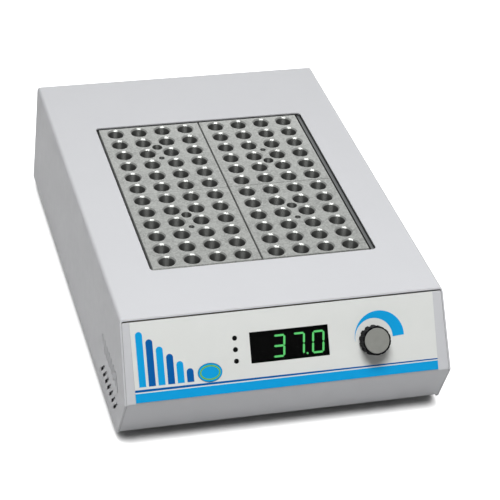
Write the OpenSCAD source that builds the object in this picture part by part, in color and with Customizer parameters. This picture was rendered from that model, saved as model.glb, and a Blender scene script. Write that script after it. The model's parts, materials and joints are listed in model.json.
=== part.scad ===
// Dry block heater: four removable tube blocks stand in a heated well behind a sloping
// control panel. +Z is up, +X is to the operator's right and the panel faces -Y.
// The origin lies on the table, under the middle of the whole heater's bounding box.

/* [Case] */
// Width of the case across its top
case_w = 221.3; // [216:0.1:250]
// Depth of the rear compartment, from the cut-out to the top's rear edge
rear_depth = 70; // [66:1:90]
// Height of the side walls
side_h = 84; // [82:1:95]
// Height of the side walls' lower edge above the table
ground_gap = 5; // [4:0.5:8]
// How far each side wall leans out at its lower edge
side_flare = 2.3; // [0:0.1:4]
// How far the rear wall leans back at its lower edge
rear_lean = 7; // [4:0.5:9]
// Thickness of the cover's and the base's sheet steel
sheet = 1.2; // [1:0.1:1.5]
// Outer radius of the bends along the top's side edges
bend_r = 2.5; // [2:0.5:4]
// Free gap between folded sheets that fit into one another
sheet_gap = 0.3; // [0.2:0.05:0.5]
// Depth of the cover's lip over the rear panel
lip_h = 12; // [10:1:16]

/* [Front panel] */
// Height of the sloping panel
panel_h = 47.8; // [45:0.1:50]
// How far the panel's lower edge stands in front of its upper edge
panel_reach = 29.1; // [22:0.1:30]
// Height of the chin under the panel
chin_h = 34.8; // [32:0.1:35]
// How far the chin runs back to its lower edge
chin_back = 16.9; // [10:0.1:20]
// Thickness of the panel's sheet
panel_t = 1.5; // [1.2:0.1:2]
// How far the cover's edges stand proud of the panel
reveal = 0; // [0:0.1:1]
// Gap between the front panel's ends and the cover's side walls
panel_gap = 0.1; // [0.05:0.05:0.3]
// Height of the open seam between the cover and the panel
panel_seam = 0.7; // [0.3:0.1:1.2]
// Width of the printed film
film_w = 207.5; // [200:0.1:208]
// Distance from the film's middle to the middle of the case, to the left
film_shift = 0.7; // [0:0.1:1.5]
// Thickness of the printed film
film_t = 0.4; // [0.3:0.1:0.6]

/* [Display] */
// Width of the display window
window_w = 53.7; // [52:0.1:60]
// Height of the display window
window_h = 20.4; // [20:0.1:22]
// Sideways place of the window's middle
window_x = 1.3; // [-4:0.1:4]
// Distance of the window's middle down the panel
window_s = 27.1; // [26:0.1:28]
// Height of a digit
digit_h = 15.1; // [12:0.1:15.5]
// How far the digits lie below the window's middle
digit_drop = 0.7; // [0:0.1:1]
// Distance between digits
digit_pitch = 13.5; // [12:0.1:13.6]
// Width of a lit segment
segment_w = 1.3; // [1:0.1:2]
// Diameter of an indicator lamp
lamp_d = 3; // [2:0.1:4]
// Distance between indicator lamps
lamp_pitch = 7.6; // [6:0.1:8]
// Sideways place of the indicator lamps
lamp_x = -35.6; // [-38:0.1:-34]

/* [Controls] */
// Sideways place of the knob
knob_x = 59; // [50:0.5:70]
// Distance of the knob's middle down the panel
knob_s = 30.5; // [28:0.5:33]
// Diameter of the knob's skirt at the panel
knob_d = 20.4; // [18:0.1:24]
// Diameter of the knob's skirt at its top
knob_top_d = 19.4; // [18.4:0.1:20]
// Height of the knob over the film
knob_h = 8.8; // [8.5:0.1:14]
// Number of grip flutes round the knob
flutes = 14; // [10:1:20]
// Diameter of the knob's cap
cap_d = 17.2; // [12:0.1:17.4]
// Diameter of the encoder's shaft
shaft_d = 6; // [5:0.5:6]
// Radial clearance of turning and sliding fits
running_gap = 0.05; // [0.03:0.01:0.08]
// Half width of the oval mode button
button_a = 8; // [6:0.1:9]
// Half height of the oval mode button
button_b = 6; // [5:0.1:7]
// Sideways place of the mode button
button_x = -53.9; // [-58:0.1:-50]
// Distance of the button's middle down the panel
button_s = 40.1; // [37:0.1:41]
// Travel of the mode button
button_travel = 0.8; // [0.4:0.1:1]

/* [Tube blocks] */
// Width of a tube block
block_w = 75.9; // [75:0.1:78]
// Length of a tube block
block_l = 95; // [94:0.1:97]
// Height of a tube block
block_h = 50; // [48:0.5:52]
// Diameter of a tube well
well_d = 11.3; // [10:0.1:12]
// Depth of a tube well
well_depth = 37; // [30:0.5:40]
// Depth of the tapered foot of a tube well
well_taper = 13; // [8:0.5:16]
// Diameter of the well's round floor
well_floor_d = 4.6; // [3:0.1:6]
// Distance between wells across the block
well_pitch_x = 17.76; // [16:0.01:18]
// Distance between wells along the block
well_pitch_y = 15.83; // [14:0.01:16]
// Wells across a block
well_cols = 4; // [2:1:4]
// Wells along a block
well_rows = 6; // [3:1:6]
// Width of the chamfer round each well's mouth
mouth_chamfer = 0.9; // [0.2:0.05:1]
// Diameter of the thermometer hole
thermometer_d = 7.5; // [6:0.1:8]
// Depth of the thermometer hole
thermometer_depth = 38; // [30:0.5:40]
// Tapping diameter of the M5 lifting hole
lift_d = 4.2; // [3:0.1:5]
// Depth of the lifting hole
lift_depth = 14; // [10:1:20]

/* [Well] */
// Distance from the top's front edge to the cut-out
cut_front = 52.6; // [50:0.1:60]
// How far the cut-out lies to the right of the middle
cut_shift = 1.2; // [0:0.1:2]
// Gap between the blocks, side to side
gap_x = 1.1; // [0.4:0.1:1.5]
// Gap between the blocks, front to back
gap_y = 0.3; // [0.3:0.1:1]
// Gap between the blocks and the cut-out's left edge
gap_left = 1.85; // [1:0.05:3]
// Gap between the blocks and the cut-out's right edge
gap_right = 4.75; // [4.5:0.05:6]
// Gap between the blocks and the cut-out's front edge
gap_front = 1.6; // [1:0.1:3]
// Gap between the blocks and the cut-out's back edge
gap_back = 3.2; // [1:0.1:5]
// Corner radius of the cut-out
cut_r = 3; // [1:0.1:3.2]
// Thickness of the spacer bar beside the blocks
spacer_t = 2.4; // [2:0.1:2.8]
// Wall thickness of the well frame
frame_t = 1; // [0.8:0.1:1.5]
// How far the well frame stands back from the cut-out's edge
frame_step = 0.6; // [0.3:0.1:1]
// Thickness of the heater plate
plate_t = 8; // [7:0.5:8.5]
// Thickness of the heater mat
mat_t = 1.5; // [1:0.1:2]
// Thickness of the insulation board under the mat
board_t = 7; // [6:0.5:7]
// Thickness of the plate that carries the well
support_t = 1.5; // [1.2:0.1:2]
// Thickness of the insulation round the well
wrap_t = 10; // [8:0.5:12]

/* [Rear connections] */
// Distance from the mains inlet's middle to the case's right side
inlet_inset = 52; // [44:1:60]
// Distance of the mains inlet's middle down the rear wall
inlet_s = 46; // [44:1:50]
// Distance between the middles of the inlet and the power switch
switch_gap = 44; // [38:1:58]
// Swing of the power rocker
rocker_swing = 20; // [12:1:22]
// Free gap round the fuse drawer
drawer_gap = 0.3; // [0.2:0.05:0.5]

/* [Feet] */
// Diameter of a rubber foot
foot_d = 18; // [14:1:19]
// Distance from a foot's middle to the base's side edge
foot_inset = 26; // [24:1:27]

/* [Hidden] */
$fn = 48;
// How far a cut runs to either side of the sheet it goes through
reach = 5;
// How far an outline runs past the case before it is trimmed
past = 40;

// ---- Heights ----
top_z = ground_gap + side_h;
base_z = top_z - panel_h - chin_h;
base_top = base_z + sheet;
block_z = top_z - block_h;
plate_z = block_z - plate_t;
mat_z = plate_z - mat_t;
board_z = mat_z - board_t;
support_z = board_z - support_t;

// How far the panels' outer faces lie under the cover's outer face
seat = sheet + sheet_gap;

// ---- Slopes ----
tilt = atan(panel_reach / panel_h);
panel_len = norm([panel_reach, panel_h]);
lean = atan(rear_lean / side_h);

// ---- Blocks and their cut-out ----
blocks_w = 2 * block_w + gap_x;
blocks_l = 2 * block_l + gap_y;
cut_w = gap_left + blocks_w + gap_right;
cut_l = gap_front + blocks_l + gap_back;

// ---- Depths: front_y is the top's front edge, and the bounding box is centred on Y = 0 ----
knob_nose = knob_s * sin(tilt) + (film_t + knob_h) * cos(tilt) + knob_top_d / 2 * sin(tilt);
nose_out = max(panel_reach + reveal, knob_nose);
inlet_flange_t = 3;
case_d = cut_front + cut_l + rear_depth;
rear_face = case_d + rear_lean;
inlet_out = case_d + inlet_s * sin(lean) + inlet_flange_t * cos(lean) + 1.4;
front_y = nose_out - (nose_out + max(rear_face, inlet_out)) / 2;
rear_y = front_y + case_d;

// ---- Sideways places behind the well ----
inlet_x = case_w / 2 - inlet_inset;
switch_x = inlet_x - switch_gap;
power_inset = 12;
power_w = 96;
power_x0 = power_inset - case_w / 2;
power_x1 = power_x0 + power_w;

// ---- Places of the blocks and of the well under them ----
cut_x = cut_shift;
cut_y = front_y + cut_front + cut_l / 2;
blocks_x = cut_x - cut_w / 2 + gap_left + blocks_w / 2;
blocks_y = cut_y - cut_l / 2 + gap_front + blocks_l / 2;
step_x = (block_w + gap_x) / 2;
step_y = (block_l + gap_y) / 2;
edge_chamfer = 0.15;
frame_in_w = cut_w + 2 * frame_step;
frame_in_l = cut_l + 2 * frame_step;
frame_out_w = frame_in_w + 2 * frame_t;
frame_out_l = frame_in_l + 2 * frame_t;
flange_w = 8;
plate_gap = 0.5;
plate_w = frame_in_w - 2 * plate_gap;
plate_l = frame_in_l - 2 * plate_gap;
mat_inset = 6;
well_rear = cut_y + frame_out_l / 2 + wrap_t + sheet_gap;
sensor_d = 4;
sensor_z = plate_z + plate_t / 2;
sensor_side = 2.5;
sensor_x = power_x1 + sensor_side;
lead_hole_d = 8;
lead_side = 47.5;
lead_x = power_x1 - lead_side;
cutout_side = 34;
cutout_x = cut_x + cutout_side;
cutout_d = 15;
under_y = cut_y + plate_l / 2 - 30;
clamp_x = plate_w / 2 - 12;
clamp_y = plate_l / 2 - 12;
standoff_side = 34;

// ---- Screws ----
m3_d = 3;
m3_head_d = 5.6;
m3_head_h = 1.8;
m4_d = 4;
m4_head_d = 7.5;
m4_head_h = 2.4;
screw_fit = 0.2;
tap_fit = 0.02;
m3_hole = m3_d + 2 * screw_fit;
m3_tap = m3_d + 2 * tap_fit;
m4_hole = m4_d + 2 * screw_fit;
m4_tap = m4_d + 2 * tap_fit;

// ---- Behind the panel ----
board_drop = 12;
pcb_t = 1.6;
module_gap = 0.3;
module_h = 8;
pcb_top = -board_drop;
pcb_x0 = button_x - 17.5;
pcb_x1 = knob_x + 21;
pcb_s0 = 11;
pcb_s1 = 49;
standoff_d = 6;
button_flange = 1.2;
button_gap = 0.3;
plunger_d = 3.4;
switch_h = 3.4;
bushing_d = 7;
bushing_top = 5;
nut_h = 2;
nut_d = 11.5;
encoder_w = 13;

// ---- Rear compartment ----
power_l = 36;
power_gap = 4;
power_y = well_rear + power_gap + power_l / 2;
power_post = 7;
power_z = base_top + power_post;
power_top = power_z + pcb_t;
post_inset = 5;
part_gap = 2;
core_w = 32;
core_l = 16;
core_h = 28;
coil_w = 20;
coil_l = 32;
transformer_x = power_x0 + post_inset + standoff_d / 2 + part_gap + core_w / 2;
sink_w = 26;
sink_h = 26;
sink_t = 2.5;
sink_fins = 6;
fin_t = 1.5;
fin_l = 5;
sink_x = power_x1 - post_inset - standoff_d / 2 - sink_w;
sink_y = power_y - 10;
terminal_pitch = 5.05;
terminal_w = 26;
terminal_l = 10;
terminal_h = 11;
terminal_in = 4.5;
entry_w = 3.2;
terminal_x = sink_x - part_gap;
terminal_y = power_y + 4;
foot_y_front = front_y + 16;
foot_y_rear = rear_y - 13;
screw_clear = 2.2;
foot_x = case_w / 2 - foot_inset;

// ---- Folded sheet outlines ----
function unit(v) = v / norm(v);
function left_of(v) = [-v[1], v[0]];
function mitre(p, i, t) =
    let (a = unit(i > 0 ? p[i] - p[i - 1] : p[1] - p[0]),
         b = i < len(p) - 1 ? unit(p[i + 1] - p[i]) : a,
         n = unit(left_of(a) + left_of(b)))
    p[i] + n * t / (n * left_of(a));
function arc_corner(a, v, b, r, steps = 5) =
    let (u = unit(a - v), w = unit(b - v), half = acos(u * w) / 2,
         centre = v + unit(u + w) * r / sin(half),
         start = v + u * r / tan(half) - centre,
         stop = v + w * r / tan(half) - centre,
         from = atan2(start[1], start[0]),
         sweep = (atan2(stop[1], stop[0]) - from + 540) % 360 - 180)
    [for (k = [0:steps]) centre + r * [cos(from + sweep * k / steps), sin(from + sweep * k / steps)]];
function rounded(p, r) = [
    p[0],
    for (i = [1:len(p) - 2]) each arc_corner(p[i - 1], p[i], p[i + 1], r),
    p[len(p) - 1]
];
function ellipse_points(a, b, n = 60) = [for (k = [0:n - 1]) [a * cos(360 * k / n), b * sin(360 * k / n)]];

// The case's side outline as [Y, Z]: top edge, nose, chin
nose_pt = [front_y - panel_reach, top_z - panel_h];
chin_pt = nose_pt + [chin_back, -chin_h];

// A folded sheet of thickness t, to the left of the path of its outer face
module folded(p, t) {
    polygon([each p, each [for (i = [len(p) - 1:-1:0]) mitre(p, i, t)]]);
}

// Extrudes a [Y, Z] outline along X
module along_x(w) {
    rotate([90, 0, 90]) linear_extrude(height = w, center = true) children();
}

// Extrudes an [X, Z] outline from y0 to y1
module along_y(y0, y1) {
    translate([0, y1, 0]) rotate([90, 0, 0]) linear_extrude(height = y1 - y0) children();
}

// Local Z is the panel's outward normal and local Y runs up the panel
module on_panel(x, s, h = 0) {
    translate([x, front_y - s * sin(tilt), top_z - s * cos(tilt)])
        rotate([90 - tilt, 0, 0]) translate([0, 0, h]) children();
}

// Local Z is the rear wall's outward normal and local Y runs up the wall
module on_rear(x, s, h = 0) {
    translate([x, rear_y + s * sin(lean), top_z - s * cos(lean)])
        rotate([0, 0, 180]) rotate([90 - lean, 0, 0]) translate([0, 0, h]) children();
}

// Everything between the cover's side walls, less a gap
module between_sides(gap) {
    w_top = half_inside(top_z, gap);
    w_low = half_inside(0, gap);
    along_y(front_y - 2 * panel_reach, rear_y + 3 * rear_lean)
        polygon([
            [-w_low, 0], [w_low, 0], [w_top, top_z - bend_r],
            [w_top - bend_r, top_z], [bend_r - w_top, top_z], [-w_top, top_z - bend_r]
        ]);
}

// A cut through thin sheet that lies near local Z = 0
module sheet_cut() {
    translate([0, 0, -reach]) linear_extrude(height = 2 * reach) children();
}

module sheet_hole(d) {
    translate([0, 0, -reach]) cylinder(h = 2 * reach, d = d);
}

module rounded_rect(w, l, r) {
    square([w - 2 * r, l], center = true);
    square([w, l - 2 * r], center = true);
    for (x = [-1, 1], y = [-1, 1])
        translate([x * (w / 2 - r), y * (l / 2 - r)]) circle(r);
}

// A slot of overall length l with round ends, along local X
module slot(l, w) {
    square([l - w, w], center = true);
    for (x = [-1, 1]) translate([x * (l - w) / 2, 0]) circle(d = w);
}

// A wire of diameter d swept along points, with its bends eased by corner arcs
function eased(p, r, steps = 3) = [
    p[0],
    for (i = [1:len(p) - 2])
        let (a = p[i] + unit(p[i - 1] - p[i]) * r, b = p[i] + unit(p[i + 1] - p[i]) * r)
        for (k = [0:steps])
            let (t = k / steps) a * (1 - t) ^ 2 + p[i] * 2 * t * (1 - t) + b * t ^ 2,
    p[len(p) - 1]
];

module wire(points, d, sides = 8, bend = 3) {
    p = eased(points, bend);
    n = len(p);
    side = [1, 0.03, 0.02];
    rings = [
        for (i = [0:n - 1])
            let (along = unit(p[min(i + 1, n - 1)] - p[max(i - 1, 0)]),
                 u = unit(cross(along, side)), v = cross(u, along))
            for (k = [0:sides - 1])
                p[i] + (u * cos(360 * k / sides) + v * sin(360 * k / sides)) * d / 2
    ];
    walls = [
        for (i = [0:n - 2], k = [0:sides - 1])
            let (a = i * sides + k, b = i * sides + (k + 1) % sides)
            each [[a, b + sides, b], [a, a + sides, b + sides]]
    ];
    last = (n - 1) * sides;
    polyhedron(rings, [
        [for (k = [0:sides - 1]) k], each walls, [for (k = [sides - 1:-1:0]) last + k]
    ]);
}

// A pan-head screw: its head stands over local Z = 0 and its shank goes down
module screw(d, head_d, head_h, l) {
    difference() {
        cylinder(h = head_h, d = head_d);
        translate([0, 0, head_h - 1]) {
            cube([head_d * 0.6, 0.9, 3], center = true);
            cube([0.9, head_d * 0.6, 3], center = true);
        }
    }
    translate([0, 0, -l]) cylinder(h = l, d = d);
}

// ---- Case ----
vent_count = 7;
vent_pitch = 7.15;
vent_l = 15;
vent_w = 2.4;
vent_ahead = 2.4;
vent_y = front_y - vent_ahead;
vent_upper = 48;
vent_lower = 67.6;

module side_vents() {
    for (i = [0:vent_count - 1], row = [[vent_upper, 45], [vent_lower, -45]])
        translate([0, vent_y + i * vent_pitch, top_z - row[0]])
            rotate([row[1], 0, 0]) rotate([90, 0, 90])
                linear_extrude(height = case_w + past, center = true) slot(vent_l, vent_w);
}

module side_outline() {
    front = [[front_y, top_z], nose_pt, chin_pt];
    proud = [for (i = [0:2]) mitre(front, i, -reveal)];
    up = unit(proud[0] - proud[1]);
    over = proud[0] + up * 10;
    rear_up = [rear_y - 10 * tan(lean), top_z + 10];
    rear_low = [rear_y + rear_lean, ground_gap];
    polygon([over, proud[1], proud[2], [proud[2][0] + 1.5, ground_gap], rear_low, rear_up]);
}

module top_cover() {
    half = case_w / 2;
    low = half + side_flare;
    path = rounded([[low, ground_gap], [half, top_z], [-half, top_z], [-low, ground_gap]], bend_r);
    color("gainsboro") difference() {
        intersection() {
            union() {
                along_y(front_y - past, rear_y + past) folded(path, sheet);
                intersection() {
                    on_rear(0, lip_h / 2, -sheet / 2) cube([case_w + 2, lip_h, sheet], center = true);
                    between_sides(-sheet / 2);
                }
            }
            along_x(case_w + past) side_outline();
        }
        translate([cut_x, cut_y, top_z]) sheet_cut() rounded_rect(cut_w, cut_l, cut_r);
        side_vents();
        for (x = lip_screw_x) on_rear(x, lip_h / 2) sheet_hole(m3_hole);
    }
}
lip_screw_inset = 18;
lip_screw_x = [lip_screw_inset - case_w / 2, 0, case_w / 2 - lip_screw_inset];

rim_h = 14;
pan_y0 = chin_pt[0] + panel_t + 1;
pan_y1 = rear_y - sheet - panel_t;
// Half width inside the cover's side walls at height z, less a gap
function half_inside(z, gap) = case_w / 2 - sheet - gap + side_flare * (top_z - z) / side_h;

// Room for the base's side rims
module rim_room() {
    x = half_inside(base_z, 2 * sheet_gap + sheet + 0.8);
    for (side = [-1, 1])
        translate([side * (x + 10), (pan_y0 + pan_y1) / 2, base_z + rim_h / 2])
            cube([20, pan_y1 - pan_y0 + 2 * sheet_gap, rim_h + 2 * sheet_gap], center = true);
}

module base_pan() {
    low = half_inside(base_z, sheet_gap);
    high = half_inside(base_z + rim_h, sheet_gap);
    path = rounded([
        [-high, base_z + rim_h], [-low, base_z], [low, base_z], [high, base_z + rim_h]
    ], 2);
    color("silver") difference() {
        along_y(pan_y0, pan_y1) folded(path, sheet);
        for (x = [-1, 1], y = [foot_y_front, foot_y_rear])
            translate([x * foot_x, y, base_z]) sheet_hole(m4_hole);
        for (p = [each standoff_places, each post_places])
            translate([p[0], p[1], base_z]) sheet_hole(m3_hole);
        for (x = chassis_screw_x, y = chassis_screw_y)
            translate([x, y, base_z]) sheet_hole(m3_hole);
        for (i = [0:base_vents_rear - 1])
            translate([base_vent_x + i * base_vent_pitch, base_vent_rear_y, base_z])
                sheet_cut() rotate(90) slot(base_vent_l, vent_slot_w);
        for (i = [0:base_vents_front - 1])
            translate([(i - (base_vents_front - 1) / 2) * base_vent_pitch, base_vent_front_y, base_z])
                sheet_cut() rotate(90) slot(base_vent_l, vent_slot_w);
    }
}
base_vents_rear = 6;
base_vents_front = 9;
base_vent_pitch = 12;
base_vent_l = 24;
base_vent_x = switch_x + 10;
base_vent_rear_y = rear_y - 38;
base_vent_front_y = front_y + 34;
vent_slot_w = 3;
chassis_screw_side = foot_x - (foot_d + m3_head_d) / 2 - screw_clear;
chassis_screw_x = [-chassis_screw_side, 0, chassis_screw_side];
chassis_inset_front = 9;
chassis_inset_rear = 8;
chassis_screw_y = [chin_pt[0] + chassis_inset_front, rear_y - chassis_inset_rear];

module rear_panel() {
    s_top = seat + 0.2;
    up = [-sin(lean), cos(lean)];
    out = [cos(lean), sin(lean)];
    top_pt = [rear_y, top_z] - up * s_top - out * seat;
    low_y = rear_y + (top_z - base_top) * tan(lean) - seat / cos(lean);
    path = rounded([
        [low_y - 14, base_top], [low_y, base_top], top_pt, [top_pt[0] - 10, top_pt[1]]
    ], 2);
    color("gainsboro") difference() {
        intersection() {
            along_x(case_w + past) folded(path, sheet);
            between_sides(sheet_gap);
        }
        rim_room();
        on_rear(inlet_x, inlet_s) sheet_cut()
            square([inlet_body_w + 2 * body_fit, inlet_body_h + 2 * body_fit], center = true);
        for (x = [-1, 1]) on_rear(inlet_x + x * inlet_screw_pitch / 2, inlet_s)
            sheet_hole(m3_hole);
        on_rear(switch_x, inlet_s) sheet_cut()
            square([switch_body_w + 2 * body_fit, switch_body_h + 2 * body_fit], center = true);
        for (x = lip_screw_x) on_rear(x, lip_h / 2) sheet_hole(m3_tap);
        for (x = chassis_screw_x) translate([x, chassis_screw_y[1], base_top])
            sheet_hole(m3_tap);
        for (i = [0:rear_vents - 1]) on_rear(rear_vent_x + i * rear_vent_pitch, inlet_s)
            sheet_cut() rotate(90) slot(rear_vent_l, vent_slot_w);
    }
}
body_fit = 0.2;
rear_vents = 10;
rear_vent_pitch = 8;
rear_vent_l = 34;
rear_vent_x = 18 - case_w / 2;

// What the panel and its film leave open for the window, lamps, button and knob
module panel_openings() {
    on_panel(window_x, window_s) sheet_cut()
        square([window_w + 2 * window_fit, window_h + 2 * window_fit], center = true);
    for (i = [-1:1]) on_panel(lamp_x, window_s + i * lamp_pitch)
        sheet_hole(lamp_d + 2 * screw_fit);
    on_panel(button_x, button_s) sheet_cut()
        polygon(ellipse_points(button_a + button_gap, button_b + button_gap));
    on_panel(knob_x, knob_s) sheet_hole(bushing_d + 2 * screw_fit);
}

module front_panel() {
    top_pt = [front_y - panel_top_s * sin(tilt), top_z - panel_top_s * cos(tilt)];
    path = rounded([
        top_pt, nose_pt,
        [chin_pt[0] - sheet * chin_back / chin_h, base_top], [chin_pt[0] + 16, base_top]
    ], panel_bend_r);
    color("lightgray") difference() {
        intersection() {
            along_x(case_w + past) folded(path, panel_t);
            between_sides(panel_gap);
        }
        rim_room();
        panel_openings();
        for (x = chassis_screw_x) translate([x, chassis_screw_y[0], base_top])
            sheet_hole(m3_tap);
    }
}
window_fit = 0.1;
panel_bend_r = 1.7;
panel_top_s = (sheet + panel_seam) / cos(tilt);

module panel_film() {
    color("whitesmoke") difference() {
        on_panel(-film_shift, (film_s0 + film_s1) / 2, film_lift)
            linear_extrude(height = film_t - film_lift)
                rounded_rect(film_w, film_s1 - film_s0, 1);
        panel_openings();
    }
}
film_lift = 0.01;
// The film covers the flat between the panel's upper edge and its lower bend
film_s0 = panel_top_s + 0.1;
film_s1 = panel_len - panel_bend_r * tan((tilt + atan(chin_back / chin_h)) / 2) - 0.1;

// ---- Display and controls ----
module display_window() {
    color([0.05, 0.06, 0.05, 0.7]) on_panel(window_x, window_s, -panel_t)
        linear_extrude(height = panel_t + film_t) rounded_rect(window_w, window_h, 0.4);
}

module display_module() {
    color("dimgray") on_panel(window_x, window_s, -panel_t - module_gap - module_h) {
        linear_extrude(height = module_h) square([4 * digit_pitch - 0.8, window_h - 1.4], center = true);
        for (x = [-5.5:5.5], y = [-1, 1])
            translate([x * pin_pitch, y * 3 * pin_pitch, -pin_run]) cylinder(h = pin_run, d = 0.8);
    }
}
pin_run = board_drop - panel_t - module_gap - module_h;

// Lit segments by number: top, upper right, lower right, bottom, lower left, upper left, middle
LIT = [
    [0, 0, 0, 0, 0, 0, 0],
    [1, 1, 1, 1, 0, 0, 1],
    [1, 1, 1, 0, 0, 0, 0],
    [1, 1, 1, 1, 1, 1, 0]
];

module segment(l) {
    w = segment_w / 2;
    polygon([[-l / 2, 0], [-l / 2 + w, w], [l / 2 - w, w], [l / 2, 0], [l / 2 - w, -w], [w - l / 2, -w]]);
}

module digit(lit) {
    v = (digit_h - segment_w) / 2;
    h = v * digit_aspect;
    slant = tan(digit_lean);
    places = [
        [0, v, 0], [h / 2, v / 2, 1], [h / 2, -v / 2, 1], [0, -v, 0],
        [-h / 2, -v / 2, 1], [-h / 2, v / 2, 1], [0, 0, 0]
    ];
    for (i = [0:6]) if (lit[i] == 1)
        translate([places[i][0] + places[i][1] * slant, places[i][1]])
            rotate(places[i][2] * (90 - digit_lean)) segment((places[i][2] == 1 ? v : h) - segment_gap);
}

digit_aspect = 1.04;
digit_lean = 5;
point_left = 1.25;
// Open space between one lit segment and the next
segment_gap = 0.35;

module display_digits() {
    color("lime") on_panel(window_x, window_s, -panel_t - module_gap) linear_extrude(height = 0.2) {
        for (i = [1:3]) translate([(i - 1.5) * digit_pitch, -digit_drop]) digit(LIT[i]);
        translate([digit_pitch - point_left, (segment_w - digit_h) / 2 - digit_drop])
            circle(d = segment_w);
    }
}

module indicator_lamps() {
    color("darkslategray") for (i = [-1:1]) on_panel(lamp_x, window_s + i * lamp_pitch, 0) {
        translate([0, 0, -lamp_l]) cylinder(h = lamp_l + film_t, d = lamp_d);
        translate([0, 0, -lamp_l]) cylinder(h = 1, d = lamp_d + 0.8);
        for (y = [-1, 1]) translate([0, y * pin_pitch / 2, pcb_top])
            cylinder(h = board_drop - lamp_l, d = 0.6);
    }
}
lamp_l = 6;
pin_pitch = 2.54;

module control_board() {
    color("darkgreen") on_panel(0, 0, pcb_top - pcb_t) difference() {
        translate([pcb_x0, -pcb_s1, 0]) cube([pcb_x1 - pcb_x0, pcb_s1 - pcb_s0, pcb_t]);
        for (p = panel_posts) translate([p[0], -p[1], -1])
            cylinder(h = pcb_t + 2, d = m3_hole);
    }
}
panel_posts = [for (x = [pcb_x0 + 5, pcb_x1 - 5], s = [pcb_s0 + 5, pcb_s1 - 5]) [x, s]];

module panel_standoffs() {
    color("lightgray") for (p = panel_posts) on_panel(p[0], p[1], pcb_top) difference() {
        cylinder(h = board_drop - panel_t, d = standoff_d);
        translate([0, 0, -1]) cylinder(h = 8, d = m3_tap);
    }
}

module board_screws() {
    color("silver") for (p = panel_posts) on_panel(p[0], p[1], pcb_top - pcb_t)
        rotate([180, 0, 0]) screw(m3_d, m3_head_d, m3_head_h, 7);
}

module mode_button() {
    flange_z = -panel_t - 0.1 - flange_t;
    color("deepskyblue") on_panel(button_x, button_s, 0) {
        translate([0, 0, flange_z]) linear_extrude(height = film_t + button_proud - flange_z)
            polygon(ellipse_points(button_a, button_b));
        translate([0, 0, flange_z]) linear_extrude(height = flange_t)
            polygon(ellipse_points(button_a + button_flange, button_b + button_flange));
        translate([0, 0, plunger_top]) cylinder(h = flange_z - plunger_top + 0.1, d = 5);
    }
}
plunger_top = pcb_top + switch_h + 1;
flange_t = 1;
button_proud = 0.5;

module mode_plunger() {
    color("black") on_panel(button_x, button_s, pcb_top + button_travel + 0.3)
        cylinder(h = switch_h + 1 - button_travel - 0.3, d = plunger_d);
}

module mode_switch() {
    color("dimgray") on_panel(button_x, button_s, pcb_top) difference() {
        linear_extrude(height = switch_h) square(6.2, center = true);
        translate([0, 0, 0.2]) cylinder(h = switch_h, d = plunger_d + 2 * running_gap);
    }
}

module control_knob() {
    low = 0.5;
    color([0.08, 0.08, 0.08]) on_panel(knob_x, knob_s, film_t) difference() {
        union() {
            translate([0, 0, low]) cylinder(h = knob_h - low - 0.5, d1 = knob_d, d2 = knob_top_d);
            translate([0, 0, knob_h - 0.5]) cylinder(h = 0.5, d1 = knob_top_d, d2 = knob_top_d - 1);
        }
        for (i = [0:flutes - 1]) rotate(i * 360 / flutes) translate([knob_d / 2 + 0.45, 0, 0])
            cylinder(h = knob_h + 1, d = flute_d);
        translate([0, 0, knob_h - cap_t]) cylinder(h = cap_t + 1, d = cap_d + 0.1);
        cylinder(h = nut_h + 0.7, d = nut_d + 1.5);
        cylinder(h = bushing_top - film_t + 0.4, d = bushing_d + 1);
        cylinder(h = shaft_top - film_t + 0.05, d = shaft_d + 0.04);
    }
}
cap_t = 0.9;
flute_d = 2.6;
shaft_top = film_t + knob_h - cap_t - 0.8;

module knob_cap() {
    color("gray") on_panel(knob_x, knob_s, film_t + knob_h - cap_t) {
        cylinder(h = cap_t - 0.3, d = cap_d);
        translate([0, 0, cap_t - 0.3]) cylinder(h = 0.3, d1 = cap_d, d2 = cap_d - 0.6);
    }
}

module encoder_shaft() {
    color("silver") on_panel(knob_x, knob_s, encoder_tail)
        cylinder(h = shaft_top - encoder_tail, d = shaft_d);
}
encoder_tail = pcb_top + 3;

module encoder_body() {
    color("slategray") on_panel(knob_x, knob_s, pcb_top) difference() {
        union() {
            linear_extrude(height = board_drop - panel_t) square(encoder_w, center = true);
            cylinder(h = board_drop + bushing_top, d = bushing_d);
        }
        translate([0, 0, 3 - 0.1]) cylinder(h = board_drop + bushing_top, d = shaft_d + 2 * running_gap);
    }
}

module encoder_nut() {
    color("silver") on_panel(knob_x, knob_s, film_t) difference() {
        cylinder(h = nut_h, d = nut_d, $fn = 6);
        translate([0, 0, -1]) cylinder(h = nut_h + 2, d = bushing_d + 2 * tap_fit);
    }
}

// ---- Tube blocks ----
module tube_well() {
    translate([0, 0, -well_depth]) {
        cylinder(h = well_taper, d1 = well_floor_d, d2 = well_d);
        translate([0, 0, well_taper]) cylinder(h = well_depth - well_taper + 1, d = well_d);
    }
    translate([0, 0, -mouth_chamfer])
        cylinder(h = 2 * mouth_chamfer, d1 = well_d, d2 = well_d + 4 * mouth_chamfer);
}

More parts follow.
